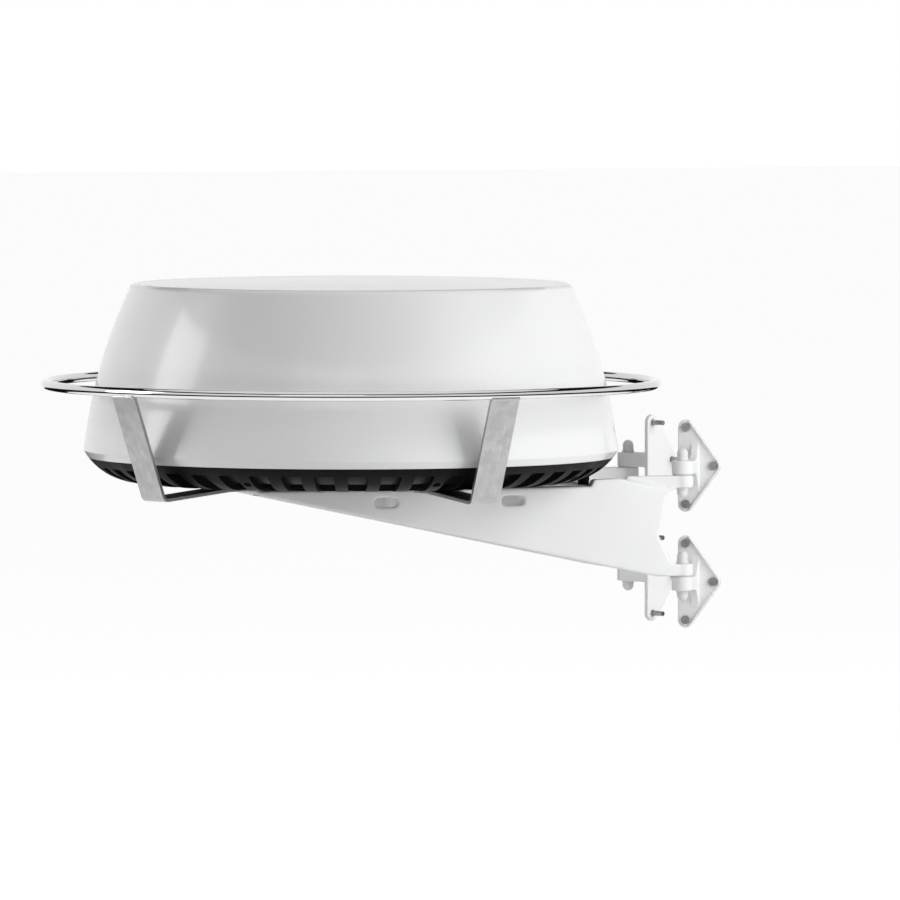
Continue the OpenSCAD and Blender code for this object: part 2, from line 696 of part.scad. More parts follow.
// A strap at a bearing round the guard, and the radome bolt that it runs to
module strap(bearing, bolt) {
  u = [cos(bearing), sin(bearing)];
  bolt_along = [bolt * u, bolt * [-u[1], u[0]]];
  rotate(bearing) difference() {
    union() {
      rotate([90, 0, 0]) translate([0, 0, -strap_w / 2]) linear_extrude(strap_w) strap_side();
      translate([0, 0, deck_z]) linear_extrude(strap_t) strap_foot(bolt_along);
    }
    translate([bolt_along[0], bolt_along[1], deck_z - 1]) cylinder(r = bolt_r + 0.5, h = strap_t + 2);
    translate([0, 0, hoop_z]) rotate_extrude($fn = 240) translate([hoop_r, 0])
      circle(r = hoop_tube_r + slip, $fn = 48);
  }
}
module strap_front_port() color("silver") at_guard() strap(strap_front_deg, bolt_places[0]);
module strap_rear_port() color("silver") at_guard() strap(strap_rear_deg, bolt_places[2]);
module strap_front_starboard() color("silver") at_guard() strap(strap_front_starboard_deg, bolt_places[1]);
module strap_rear_starboard() color("silver") at_guard() strap(strap_rear_starboard_deg, bolt_places[3]);

// ---- Mast bracket ----

arm_top_z = foot_spacing / 2 - foot_lug_t / 2 - lug_washer_t;
arm_gap_z = arm_top_z - arm_lug_t;
cheek_y = bolt_dy / 2 + cheek_out;
tip_x = -reach - deck_front;
tip_r = 20;
taper_l = 40;
step_x = -reach + step_at;
step_z = deck_z + 7;
step_l = 3;
full_width_x = -reach + 86;
deck_end_x = -45;
arm_root = 30;
flare_h = 28;
under_r = 150;
under_flat_x = -level_at;
under_slope = atan((deck_z - tip_t + arm_top_z) / (under_flat_x - tip_x));
flush = 0.2;
cheek_lean = (pin_span / 2 + lug_r + 2 * flush - cheek_y) / (arm_gap_z + arm_top_z - flare_h);

function under_z(x) = deck_z - tip_t - (x - tip_x) * tan(under_slope);

// Side view of a cheek, with the C-shaped gap at the mast
module cheek_side() {
  difference() {
    intersection() {
      rounded([[tip_x, deck_z - tip_t], [under_flat_x, -arm_top_z], [0, -arm_top_z],
               [0, arm_top_z], [tip_x, arm_top_z]], [0, under_r, 0, 0, 0]);
      polygon([[tip_x, -arm_top_z], [0, -arm_top_z], [0, arm_top_z], [-lug_r, arm_top_z],
               [step_x + step_l, step_z], [step_x, deck_z], [tip_x, deck_z]]);
    }
    rounded([[far, arm_gap_z], [far, -arm_gap_z], [-14, -arm_gap_z], [-gap_depth - 1, -10],
             [-18.5, arm_gap_z]], [0, 0, 12, 9, 15]);
  }
}

// Cross-section of a cheek, standing on its lower edge: rolled lip, hollow sweep, and a face that leans out
module cheek_section() {
  inner = -cast_t - 1;
  high = 3 * flare_h + cast_t;
  fall = flare_h - lip_edge_r;
  sweep_r = (flare_w * flare_w + fall * fall) / (2 * flare_w);
  difference() {
    union() {
      translate([inner, 0]) square([flare_w - lip_edge_r - inner, flare_h]);
      translate([inner, lip_edge_r]) square([flare_w - inner, fall]);
      translate([flare_w - lip_edge_r, lip_edge_r]) circle(r = lip_edge_r - blend);
    }
    translate([sweep_r + blend, flare_h]) circle(r = sweep_r, $fn = 180);
  }
  polygon([[inner, flare_h - 3], [0, flare_h - 3], [0, flare_h], [cheek_lean * (high - flare_h), high],
           [inner, high]]);
}
module cheek_run(length) {
  rotate([90, 0, -90]) mirror([1, 0, 0]) linear_extrude(length) cheek_section();
}

// Plan of the casting: a little narrower at the tip, full width over the flare, flush with the lugs
module casting_plan() {
  wide = cheek_y + flare_w;
  at_pins = pin_span / 2 + lug_r + flush;
  rounded([[tip_x, -cheek_y], [tip_x + taper_l, -cheek_y], [full_width_x, -wide], [lug_r, -at_pins],
           [lug_r, at_pins], [full_width_x, wide], [tip_x + taper_l, cheek_y], [tip_x, cheek_y]],
          [tip_r, 0, 0, 0, 0, 0, 0, tip_r]);
}

module window(x0, x1, half, r) {
  rounded([[x0, -half], [x1, -half], [x1, half], [x0, half]], [r, r, r, r]);
}

// One arm from a cheek to its lug, on the port side
module arm_plan(from_x) {
  pin_y = -pin_span / 2;
  polygon([[from_x, 1 - cheek_y], [0, pin_y - lug_r + 1], [0, pin_y + lug_r], [from_x, cast_t - cheek_y]]);
  translate([0, pin_y]) circle(r = lug_r);
}

module port_cheek() {
  intersection() {
    translate([0, cast_t - cheek_y, 0]) rotate([90, 0, 0]) linear_extrude(cast_t + 2 * flare_w) cheek_side();
    union() {
      translate([under_flat_x, -cheek_y, -arm_top_z]) rotate([0, under_slope, 0])
        cheek_run(reach + deck_front + under_flat_x);
      translate([0, -cheek_y, -arm_top_z]) cheek_run(-under_flat_x);
    }
  }
  translate([0, 0, arm_gap_z]) linear_extrude(arm_lug_t) arm_plan(-2 * arm_root);
  translate([0, 0, -arm_top_z]) linear_extrude(arm_lug_t) arm_plan(-arm_root);
}

// Side view of the deck, which thins out to the tip
module deck_side() {
  under = deck_z - cast_t;
  polygon([[tip_x - 1, deck_z - tip_t + 0.3], [tip_x + 1 + (cast_t - tip_t) / tan(under_slope), under],
           [deck_end_x, under], [deck_end_x, deck_z], [tip_x - 1, deck_z]]);
}

rib_t = 4;
rib_low = 8;
inlet_window_end = inlet_window_at + inlet_window_l;
rib_places = [-deck_window_l - 2 * rib_t, deck_window_l + 2 * rib_t,
              inlet_window_at - 2.5 * rib_t, inlet_window_end + (bridge_w - rib_t) / 2];
module cross_ribs() {
  for (place = rib_places) {
    x = place - reach;
    low = max(under_z(x), -arm_top_z) + rib_low;
    translate([x, -cheek_y + cast_t / 2, low]) cube([rib_t, 2 * cheek_y - cast_t, deck_z - cast_t / 2 - low]);
  }
}

// Hollows in the cheeks' faces, which give room for a spanner
pocket_places = [8, 141];
module pockets() {
  for (place = pocket_places) translate([place - reach, cast_t / 2 - cheek_y, deck_z - 13]) rotate([90, 0, 0])
    linear_extrude(far) rounded([[-12, -5], [12, -5], [12, 5], [-12, 5]], [4, 4, 4, 4]);
}

// Round outline of a radome bolt from its sunk head up, made wider all over by a clearance
bolt_face_z = deck_z - 5.2;
bolt_cone_h = bolt_head_r - bolt_r;
module bolt_shape(low, high, head_gap, shank_gap) {
  rotate_extrude() polygon([[0, low], [bolt_head_r + head_gap, low], [bolt_head_r + head_gap, bolt_face_z],
    [bolt_r + shank_gap, bolt_face_z + bolt_cone_h + head_gap - shank_gap], [bolt_r + shank_gap, high], [0, high]]);
}

module mast_bracket() color("white") difference() {
  intersection() {
    union() {
      port_cheek();
      mirror([0, 1, 0]) port_cheek();
      translate([0, cheek_y - cast_t / 2, 0]) rotate([90, 0, 0]) linear_extrude(2 * cheek_y - cast_t) deck_side();
      cross_ribs();
    }
    translate([0, 0, -far / 2]) linear_extrude(far) casting_plan();
  }
  translate([0, 0, deck_z - cast_t - 1]) linear_extrude(cast_t + 2) {
    window(-reach - deck_window_l, -reach + deck_window_l, deck_window_w, 14);
    window(-reach + inlet_window_at, -reach + inlet_window_end, cheek_y - 2.5 * cast_t, 2 * cast_t);
    window(-reach + inlet_window_end + bridge_w, far, cheek_y - cast_t - 17, 20);
  }
  pockets();
  mirror([0, 1, 0]) pockets();
  at_guard() at_bolts() bolt_shape(-far, far, slip, 0.5);
  for (y = [-1, 1]) translate([0, y * pin_span / 2, -far / 2]) cylinder(r = pin_r + slip, h = far);
}

module radome_bolts() color("silver") at_guard() at_bolts() difference() {
  bolt_shape(bolt_face_z, boss_face_z + insert_len - 4, 0, 0);
  translate([0, 0, bolt_face_z - 1]) cylinder(r = 2.9, h = 3.4, $fn = 6);
}

// ---- Hinged feet ----

plate_y = foot_reach - plate_t;
foot_holes = [[plate_hole_x + plate_hole_w, 0], [plate_hole_x, plate_hole_h / 2],
              [plate_hole_x, -plate_hole_h / 2]];

// Outline around equal discs at the points of a convex figure
module around(points, r) {
  polygon([for (i = [0:len(points) - 1])
    let (a = points[i], b = points[(i + 1) % len(points)], u = unit(b - a))
      for (q = [a, b]) q + r * [u[1], -u[0]]]);
  for (p = points) translate(p) circle(r = r - blend);
}
// Draws a plate's outline upright, from one distance to another in front of the pin
module upright(from_y, to_y) {
  translate([0, to_y, 0]) rotate([90, 0, 0]) linear_extrude(to_y - from_y) children();
}
module at_plate_holes(y) {
  for (p = foot_holes) translate([p[0], y, p[1]]) rotate([-90, 0, 0]) children();
}

foot_bore_r = pin_r + run;
foot_hole_r = foot_screw_r + 0.5;
screw_head_r = 4.3;
rim_h = 1.8;
rim_w = 2.4;
gusset_r = 20;
module foot() color("white") difference() {
  union() {
    upright(plate_y, plate_y + plate_t) around(foot_holes, plate_corner_r);
    upright(plate_y - rim_h, plate_y + 1) intersection() {
      difference() {
        around(foot_holes, plate_corner_r);
        around(foot_holes, plate_corner_r - rim_w);
      }
      translate([plate_hole_x + 3, -far / 2]) square([far, far]);
    }
    translate([0, 0, -foot_lug_t / 2]) linear_extrude(foot_lug_t) {
      circle(r = lug_r);
      translate([-lug_r, 0]) square([2 * lug_r, plate_y + 1]);
    }
    translate([lug_r - 8, 0, 0]) rotate([90, 0, 90]) linear_extrude(8) difference() {
      translate([plate_y - gusset_r, -foot_lug_t / 2 - gusset_r])
        square([gusset_r + 1, foot_lug_t + 2 * gusset_r]);
      for (s = [-1, 1]) translate([plate_y - gusset_r, s * (foot_lug_t / 2 + gusset_r)])
        circle(r = gusset_r);
    }
  }
  translate([0, 0, -far / 2]) cylinder(r = foot_bore_r, h = far);
  at_plate_holes(plate_y - 4) cylinder(r = foot_hole_r, h = far);
  at_plate_holes(plate_y - 10) cylinder(r = screw_head_r + 0.7, h = 10.4);
}
screw_head_h = 2.8;
module foot_screws() color("#8b8d90") at_plate_holes(plate_y + 0.4) {
  difference() {
    translate([0, 0, -screw_head_h]) cylinder(r = screw_head_r, h = screw_head_h);
    translate([0, 0, -screw_head_h - 1]) cylinder(r = 1.75, h = 2.6, $fn = 6);
  }
  translate([0, 0, -eps]) cylinder(r = foot_hole_r - slip, h = plate_t - 0.4);
  cylinder(r = foot_screw_r, h = plate_t - 0.4 + foot_screw_bite);
}

module at_port_foot(level) {
  translate([0, -pin_span / 2, level * foot_spacing / 2]) rotate(-foot_deg) children();
}
module at_starboard_foot(level) { mirror([0, 1, 0]) at_port_foot(level) children(); }
module foot_upper_port() at_port_foot(1) foot();
module foot_lower_port() at_port_foot(-1) foot();
module foot_upper_starboard() at_starboard_foot(1) foot();
module foot_lower_starboard() at_starboard_foot(-1) foot();
module screws_upper_port() at_port_foot(1) foot_screws();
module screws_lower_port() at_port_foot(-1) foot_screws();
module screws_upper_starboard() at_starboard_foot(1) foot_screws();
module screws_lower_starboard() at_starboard_foot(-1) foot_screws();

// Pins, caps and washers, drawn for the upper hinges and mirrored for the lower ones
lug_top_z = arm_top_z + lug_washer_t + foot_lug_t;
pin_over = 8;
pin_under = 6.5;
module at_hinges() { for (y = [-1, 1]) translate([0, y * pin_span / 2, 0]) children(); }
module cap(h, bore_h) difference() {
  union() {
    cylinder(r = cap_r, h = h - cap_r);
    translate([0, 0, h - cap_r]) sphere(r = cap_r);
    cylinder(r = cap_r + 0.7, h = 2.2);
  }
  translate([0, 0, -far]) cylinder(r = far, h = far);
  translate([0, 0, -1]) cylinder(r = pin_r + slip, h = bore_h + 1 + slip);
}
module hinge_pins() color("silver") at_hinges() {
  translate([0, 0, arm_gap_z - pin_under]) cylinder(r = pin_r, h = lug_top_z + pin_over + pin_under - arm_gap_z);
  translate([0, 0, -lug_top_z - pin_under]) cylinder(r = pin_r, h = lug_top_z + pin_over + pin_under - arm_gap_z);
}
module pin_caps() color("white") at_hinges() {
  translate([0, 0, lug_top_z + slip]) cap(cap_h, pin_over);
  translate([0, 0, arm_gap_z]) mirror([0, 0, 1]) cap(low_cap_h, pin_under);
  translate([0, 0, -arm_gap_z]) cap(cap_h, pin_over);
  translate([0, 0, -lug_top_z - slip]) mirror([0, 0, 1]) cap(low_cap_h, pin_under);
}
module hinge_washers() color("#d8d8d8") at_hinges() for (z = [arm_top_z, -arm_top_z - lug_washer_t])
  translate([0, 0, z]) ring(lug_r - 1, pin_r + slip, lug_washer_t);

dome_cover();
base_housing();
perimeter_gasket();
cover_screws();
mounting_inserts();
breather_plug();
cable_inlet();
inlet_nut();
chassis_plate();
chassis_screws();
spindle_housing();
bearing_outer_races();
bearing_inner_races();
bearing_balls();
antenna_spindle();
spindle_circlip();
driven_gear();
drive_pinion();
drive_motor();
motor_shaft();
motor_screws();
antenna_carrier();
carrier_screws();
array_tray();
array_face();
rotary_joint_stator();
rotary_joint_rotor();
zero_mark_magnet();
zero_mark_sensor();
control_board();
power_module();
transceiver_box();
transceiver_lid();
guard_hoop();
strap_front_port();
strap_rear_port();
strap_front_starboard();
strap_rear_starboard();
mast_bracket();
radome_bolts();
foot_upper_port();
foot_upper_starboard();
foot_lower_port();
foot_lower_starboard();
screws_upper_port();
screws_upper_starboard();
screws_lower_port();
screws_lower_starboard();
hinge_pins();
pin_caps();
hinge_washers();
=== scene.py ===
"""Looks of an enclosed radar scanner: a white dome on a cantilever mast bracket with a tubular guard."""

import sys

import logging
import math
import random
from dataclasses import dataclass, field
from enum import Enum

import bpy
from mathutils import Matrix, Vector


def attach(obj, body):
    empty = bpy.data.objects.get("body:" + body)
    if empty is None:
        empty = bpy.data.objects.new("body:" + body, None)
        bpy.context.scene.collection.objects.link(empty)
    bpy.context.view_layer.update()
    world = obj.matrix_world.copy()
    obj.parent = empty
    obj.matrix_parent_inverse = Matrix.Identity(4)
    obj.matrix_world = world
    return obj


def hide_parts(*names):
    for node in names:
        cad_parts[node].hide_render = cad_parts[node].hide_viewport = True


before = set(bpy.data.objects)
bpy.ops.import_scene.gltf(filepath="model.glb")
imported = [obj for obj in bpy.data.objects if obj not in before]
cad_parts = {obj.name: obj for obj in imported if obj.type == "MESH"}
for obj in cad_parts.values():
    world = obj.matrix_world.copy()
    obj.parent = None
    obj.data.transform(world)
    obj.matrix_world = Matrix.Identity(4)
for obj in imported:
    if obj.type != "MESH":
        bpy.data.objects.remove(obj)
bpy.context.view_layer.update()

logging.basicConfig(level=logging.INFO, format="%(message)s", stream=sys.stdout)
log = logging.getLogger("scanner")

Colour = tuple[float, float, float]
Tree = bpy.types.NodeTree
Socket = bpy.types.NodeSocket
SocketKinds = dict[str, tuple[str, object]]

RADOME_AXIS_X = -0.324  # where the radome's axis stands, in metres
NOISE_LOW, NOISE_HIGH = 0.3, 0.7  # where most of a noise texture's values lie


# ---- Shader building -------------------------------------------------------------------------


class Graph:
    """A node tree being filled, with short ways to add, set and link its nodes."""

    def __init__(self, tree: Tree) -> None:
        """Keeps the tree that is filled."""
        self.tree = tree

    def feed(self, socket: Socket, value: object) -> None:
        """Sets an input's value, or links a socket to it.

        Args:
            socket: The input.
            value: Its value, or the socket that feeds it.
        """
        if isinstance(value, bpy.types.NodeSocket):
            self.tree.links.new(value, socket)
        else:
            socket.default_value = value

    def add(self, kind: str, inputs: dict[str | int, object] | None = None,
            **settings: object) -> bpy.types.Node:
        """Adds a node.

        Args:
            kind: The node's type, such as ShaderNodeMath.
            inputs: Socket name or number to a value or to a socket that feeds it.
            settings: Properties of the node.

        Returns:
            The new node.
        """
        node = self.tree.nodes.new(kind)
        for key, value in settings.items():
            setattr(node, key, value)
        for key, value in (inputs or {}).items():
            self.feed(node.inputs[key], value)
        return node

    def math(self, operation: str, a: float | Socket, b: float | Socket = 0.0,
             clamp: bool = False) -> Socket:
        """Adds a Math node.

        Args:
            operation: The operation's name.
            a: First value or socket.
            b: Second value or socket.
            clamp: Whether the result stays between 0 and 1.

        Returns:
            The result's socket.
        """
        node = self.add("ShaderNodeMath", {0: a, 1: b}, operation=operation, use_clamp=clamp)
        return node.outputs[0]

    def spread(self, value: Socket, low: float, high: float, out_low: float, out_high: float) -> Socket:
        """Maps a range of a value smoothly to another range.

        Args:
            value: The socket that is mapped.
            low: Where the range starts.
            high: Where it ends.
            out_low: What low becomes.
            out_high: What high becomes.

        Returns:
            The mapped value's socket.
        """
        node = self.add("ShaderNodeMapRange", {"Value": value, "From Min": low, "From Max": high,
                                               "To Min": out_low, "To Max": out_high},
                        interpolation_type="SMOOTHSTEP")
        return node.outputs["Result"]

    def noise(self, place: Socket, scale: float | Socket, detail: float, roughness: float) -> Socket:
        """Adds a noise texture.

        Args:
            place: The position that it is read at.
            scale: How fine it is, a value or a socket.
            detail: How many finer layers it has.
            roughness: How strong those layers are.

        Returns:
            The noise's socket, around 0.5.
        """
        ins = {"Vector": place, "Scale": scale, "Detail": detail, "Roughness": roughness}
        return self.add("ShaderNodeTexNoise", ins).outputs["Fac"]

    def blend(self, share: float | Socket, a: Colour | Socket, b: Colour | Socket) -> Socket:
        """Mixes two colours.

        Args:
            share: How much of the second colour shows, a value or a socket.
            a: First colour or socket.
            b: Second colour or socket.

        Returns:
            The mixed colour's socket.
        """
        node = self.add("ShaderNodeMix", data_type="RGBA")
        ins = [s for s in node.inputs if s.enabled]
        for socket, value in zip(ins, (share, a, b)):
            self.feed(socket, rgba(value) if isinstance(value, tuple) else value)
        return next(s for s in node.outputs if s.enabled)


def rgba(colour: Colour) -> tuple[float, float, float, float]:
    """Gives a colour an alpha of 1."""
    return (*colour, 1.0)


class Effect(Enum):
    """The effects that several materials share, each one shader node group."""

    MARKS = "surface_marks"
    EDGES = "soft_edges"
    DUST = "settled_dust"
    BRUSHING = "brushed_lines"


class Effects:
    """Builds each shared effect once."""

    def __init__(self) -> None:
        """Starts with no group built."""
        self.groups: dict[Effect, Tree] = {}
        self.makers = {Effect.MARKS: self._marks, Effect.EDGES: self._edges,
                       Effect.DUST: self._dust, Effect.BRUSHING: self._brushing}

    def get(self, effect: Effect) -> Tree:
        """Gives the group of an effect.

        Args:
            effect: Which effect.

        Returns:
            The shader node group, built at its first use.
        """
        if effect not in self.groups:
            self.groups[effect] = self.makers[effect](effect.value)
        return self.groups[effect]

    def _frame(self, name: str, ins: SocketKinds, outs: dict[str, str]) -> tuple[Graph, dict, dict]:
        """Makes an empty group with its sockets.

        Args:
            name: The group's name.
            ins: Input name to socket type and first value.
            outs: Output name to socket type.

        Returns:
            The graph, its input sockets by name and its output sockets by name.
        """
        tree = bpy.data.node_groups.new(name, "ShaderNodeTree")
        for label, (kind, value) in ins.items():
            socket = tree.interface.new_socket(name=label, in_out="INPUT", socket_type=kind)
            if value is not None:
                socket.default_value = value
        for label, kind in outs.items():
            tree.interface.new_socket(name=label, in_out="OUTPUT", socket_type=kind)
        graph = Graph(tree)
        entry, leave = graph.add("NodeGroupInput"), graph.add("NodeGroupOutput")
        named_ins = {s.name: s for s in entry.outputs if s.name}
        named_outs = {s.name: s for s in leave.inputs if s.name}
        return graph, named_ins, named_outs

    def _marks(self, name: str) -> Tree:
        """Builds slow colour drift and fine grain.

        Args:
            name: The group's name.

        Returns:
            The group, with Drift around 0.5 and Grain from 0 to 1.
        """
        g, i, o = self._frame(name, {"Vector": ("NodeSocketVector", None),
                                     "Drift Scale": ("NodeSocketFloat", 25.0),
                                     "Grain Scale": ("NodeSocketFloat", 1200.0)},
                              {"Drift": "NodeSocketFloat", "Grain": "NodeSocketFloat"})
        slow = g.noise(i["Vector"], i["Drift Scale"], 4.0, 0.55)
        fine = g.noise(i["Vector"], i["Grain Scale"], 2.0, 0.6)
        g.tree.links.new(slow, o["Drift"])
        g.tree.links.new(fine, o["Grain"])
        return g.tree

    def _edges(self, name: str) -> Tree:
        """Builds rounded edges and a mask that is 1 along them.

        Args:
            name: The group's name.

        Returns:
            The group, with the rounded Normal and the Edge mask.
        """
        g, i, o = self._frame(name, {"Radius": ("NodeSocketFloat", 0.001)},
                              {"Normal": "NodeSocketVector", "Edge": "NodeSocketFloat"})
        bevel = g.add("ShaderNodeBevel", {"Radius": i["Radius"]}, samples=6)
        flat = g.add("ShaderNodeNewGeometry")
        dot = g.add("ShaderNodeVectorMath", {0: bevel.outputs["Normal"], 1: flat.outputs["Normal"]},
                    operation="DOT_PRODUCT")
        g.tree.links.new(bevel.outputs["Normal"], o["Normal"])
        g.tree.links.new(g.spread(dot.outputs["Value"], 0.99, 0.8, 0.0, 1.0), o["Edge"])
        return g.tree

    def _dust(self, name: str) -> Tree:
        """Builds dust that lies on what faces up.

        Args:
            name: The group's name.

        Returns:
            The group, with the Dust mask.
        """
        g, i, o = self._frame(name, {"Vector": ("NodeSocketVector", None),
                                     "Amount": ("NodeSocketFloat", 0.3)}, {"Dust": "NodeSocketFloat"})
        up = g.add("ShaderNodeSeparateXYZ", {0: g.add("ShaderNodeNewGeometry").outputs["Normal"]})
        lie = g.spread(up.outputs["Z"], 0.2, 0.95, 0.0, 1.0)
        thick = g.spread(g.noise(i["Vector"], 60.0, 6.0, 0.7), 0.35, 0.7, 0.2, 1.0)
        g.tree.links.new(g.math("MULTIPLY", g.math("MULTIPLY", lie, thick), i["Amount"]), o["Dust"])
        return g.tree

    def _brushing(self, name: str) -> Tree:
        """Builds fine lines along one direction.

        Args:
            name: The group's name.

        Returns:
            The group, with the Lines value around 0.5.
        """
        g, i, o = self._frame(name, {"Across": ("NodeSocketFloat", 0.0), "Along": ("NodeSocketFloat", 0.0),
                                     "Fineness": ("NodeSocketFloat", 2500.0)}, {"Lines": "NodeSocketFloat"})
        place = g.add("ShaderNodeCombineXYZ", {"X": g.math("MULTIPLY", i["Across"], i["Fineness"]),
                                               "Y": g.math("MULTIPLY", i["Along"], 12.0)})
        g.tree.links.new(g.noise(place.outputs[0], 1.0, 5.0, 0.65), o["Lines"])
        return g.tree


EFFECTS = Effects()


ROUGH_LEAST, ROUGH_MOST = 0.92, 1.12  # share of a finish's roughness where its drift is low and high
LINE_ROUGH = 0.3  # share of the roughness that brushed lines add or take
LINE_TONE = 0.82  # share of the colour that shows in a brushed line
LINE_SHARE = 0.35  # how much of that tone the deepest line shows
DUST_ROUGH = 0.3  # roughness that full dust adds
LINE_SLOPE = 1.7  # how far height shifts the lines that run round the axis
LINE_REACH = 0.3  # metres of line for a radian round the axis


class Grain(Enum):
    """How a finish's fine marks run."""

    EVEN = "even"
    ROUND_AXIS = "round the radome's axis"
    ALONG_BEARING = "along a bearing"


@dataclass(frozen=True)
class Finish:
    """A surface finish.

    Attributes hold its colour, its shine, and the size in metres of the marks that it carries.
    """

    name: str
    colour: Colour
    roughness: float
    metallic: float = 0.0
    drift: float = 0.04
    drift_scale: float = 25.0
    grain_scale: float = 1200.0
    grain_depth: float = 0.00001
    grain: Grain = Grain.EVEN
    bearing: float = 0.0
    edge: float = 0.0006
    # Edge colour: real wear on most finishes, and on the satin black partly a painted edge highlight.
    edge_wear_and_highlight: float = 0.0
    worn_and_lit_edge_colour: Colour = (0.6, 0.6, 0.6)
    dust: float = 0.0
    dusty: Colour = (0.42, 0.4, 0.37)
    coat: float = 0.0
    coat_roughness: float = 0.05
    specular: float = 0.5

    def build(self) -> bpy.types.Material:
        """Makes the material.

        Returns:
            The material, the one already made if this finish was built before.
        """
        found = bpy.data.materials.get(self.name)
        if found is not None:
            return found
        material = bpy.data.materials.new(self.name)
        material.use_nodes = True
        g = Graph(material.node_tree)
        shader = material.node_tree.nodes["Principled BSDF"]
        shader.inputs["Metallic"].default_value = self.metallic
        shader.inputs["Specular IOR Level"].default_value = self.specular
        shader.inputs["Coat Weight"].default_value = self.coat
        shader.inputs["Coat Roughness"].default_value = self.coat_roughness
        place = g.add("ShaderNodeTexCoord").outputs["Object"]
        marks = self._group(g, Effect.MARKS, {"Vector": place, "Drift Scale": self.drift_scale,
                                              "Grain Scale": self.grain_scale})
        height = marks.outputs["Grain"] if self.grain is Grain.EVEN else self._lines(g, place)
        drift = marks.outputs["Drift"]
        dark = tuple(c * (1.0 - 2.0 * self.drift) for c in self.colour)
        colour = g.blend(g.spread(drift, NOISE_LOW, NOISE_HIGH, 0.0, 1.0), self.colour, dark)
        rough = g.spread(drift, NOISE_LOW, NOISE_HIGH, self.roughness * ROUGH_LEAST,
                         self.roughness * ROUGH_MOST)
        if self.grain is not Grain.EVEN:
            change = LINE_ROUGH * self.roughness
            rough = g.math("ADD", rough, g.spread(height, NOISE_LOW, NOISE_HIGH, -change, change))
            line_colour = tuple(c * LINE_TONE for c in self.colour)
            colour = g.blend(g.spread(height, 0.3, 0.75, 0.0, LINE_SHARE), colour, line_colour)
        normal = None
        if self.edge > 0:
            edges = self._group(g, Effect.EDGES, {"Radius": self.edge})
            normal = edges.outputs["Normal"]
            # Lighter colour along edges: real wear, and on the satin black partly a painted edge highlight.
            if self.edge_wear_and_highlight > 0:
                edge_wear_and_highlight_mask = g.math("MULTIPLY", edges.outputs["Edge"], g.spread(drift, 0.35, 0.65, 0.3, 1.0))
                colour = g.blend(g.math("MULTIPLY", edge_wear_and_highlight_mask, self.edge_wear_and_highlight), colour, self.worn_and_lit_edge_colour)
        if self.dust > 0:
            dust = self._group(g, Effect.DUST, {"Vector": place, "Amount": self.dust}).outputs["Dust"]
            colour = g.blend(dust, colour, self.dusty)
            rough = g.math("ADD", rough, g.math("MULTIPLY", dust, DUST_ROUGH), clamp=True)
        bump = g.add("ShaderNodeBump", {"Height": height, "Strength": 1.0, "Distance": self.grain_depth})
        if normal is not None:
            g.tree.links.new(normal, bump.inputs["Normal"])
        g.tree.links.new(colour, shader.inputs["Base Color"])
        g.tree.links.new(rough, shader.inputs["Roughness"])
        g.tree.links.new(bump.outputs["Normal"], shader.inputs["Normal"])
        return material

    def _group(self, g: Graph, effect: Effect, inputs: dict[str, object]) -> bpy.types.Node:
        """Places a shared effect.

        Args:
            g: The material's graph.
            effect: Which effect.
            inputs: Values and sockets for its inputs.

        Returns:
            The group's node.
        """
        node = g.tree.nodes.new("ShaderNodeGroup")
        node.node_tree = EFFECTS.get(effect)
        for key, value in inputs.items():
            g.feed(node.inputs[key], value)
        return node

    def _lines(self, g: Graph, place: Socket) -> Socket:
        """Gives brushed lines that run round the radome's axis, or along a strap.

        Args:
            g: The material's graph.
            place: The position on the surface.

        Returns:
            The lines' socket.
        """
        middle = g.add("ShaderNodeVectorMath", {0: place, 1: (RADOME_AXIS_X, 0.0, 0.0)},
                       operation="SUBTRACT").outputs[0]
        if self.grain is Grain.ROUND_AXIS:
            part = g.add("ShaderNodeSeparateXYZ", {0: middle})
            flat = g.add("ShaderNodeCombineXYZ", {"X": part.outputs["X"], "Y": part.outputs["Y"]})
            radius = g.add("ShaderNodeVectorMath", {0: flat.outputs[0]}, operation="LENGTH").outputs["Value"]
            across = g.math("ADD", radius, g.math("MULTIPLY", part.outputs["Z"], LINE_SLOPE))
            turn = g.math("ARCTAN2", part.outputs["Y"], part.outputs["X"])
            along = g.math("MULTIPLY", turn, LINE_REACH)
        else:
            turned = g.add("ShaderNodeVectorRotate", {"Vector": middle, "Angle": -self.bearing},
                           rotation_type="Z_AXIS")
            part = g.add("ShaderNodeSeparateXYZ", {0: turned.outputs[0]})
            across = part.outputs["Y"]
            along = g.math("SUBTRACT", part.outputs["X"], part.outputs["Z"])
        lines = self._group(g, Effect.BRUSHING, {"Across": across, "Along": along,
                                                 "Fineness": self.grain_scale})
        return lines.outputs["Lines"]


# ---- Finishes --------------------------------------------------------------------------------

GELCOAT = Finish("gelcoat", (0.8, 0.803, 0.808), 0.3, drift=0.006, drift_scale=6.0, grain_scale=260.0,
                 grain_depth=0.00001, edge=0.001, coat=0.6, coat_roughness=0.11)
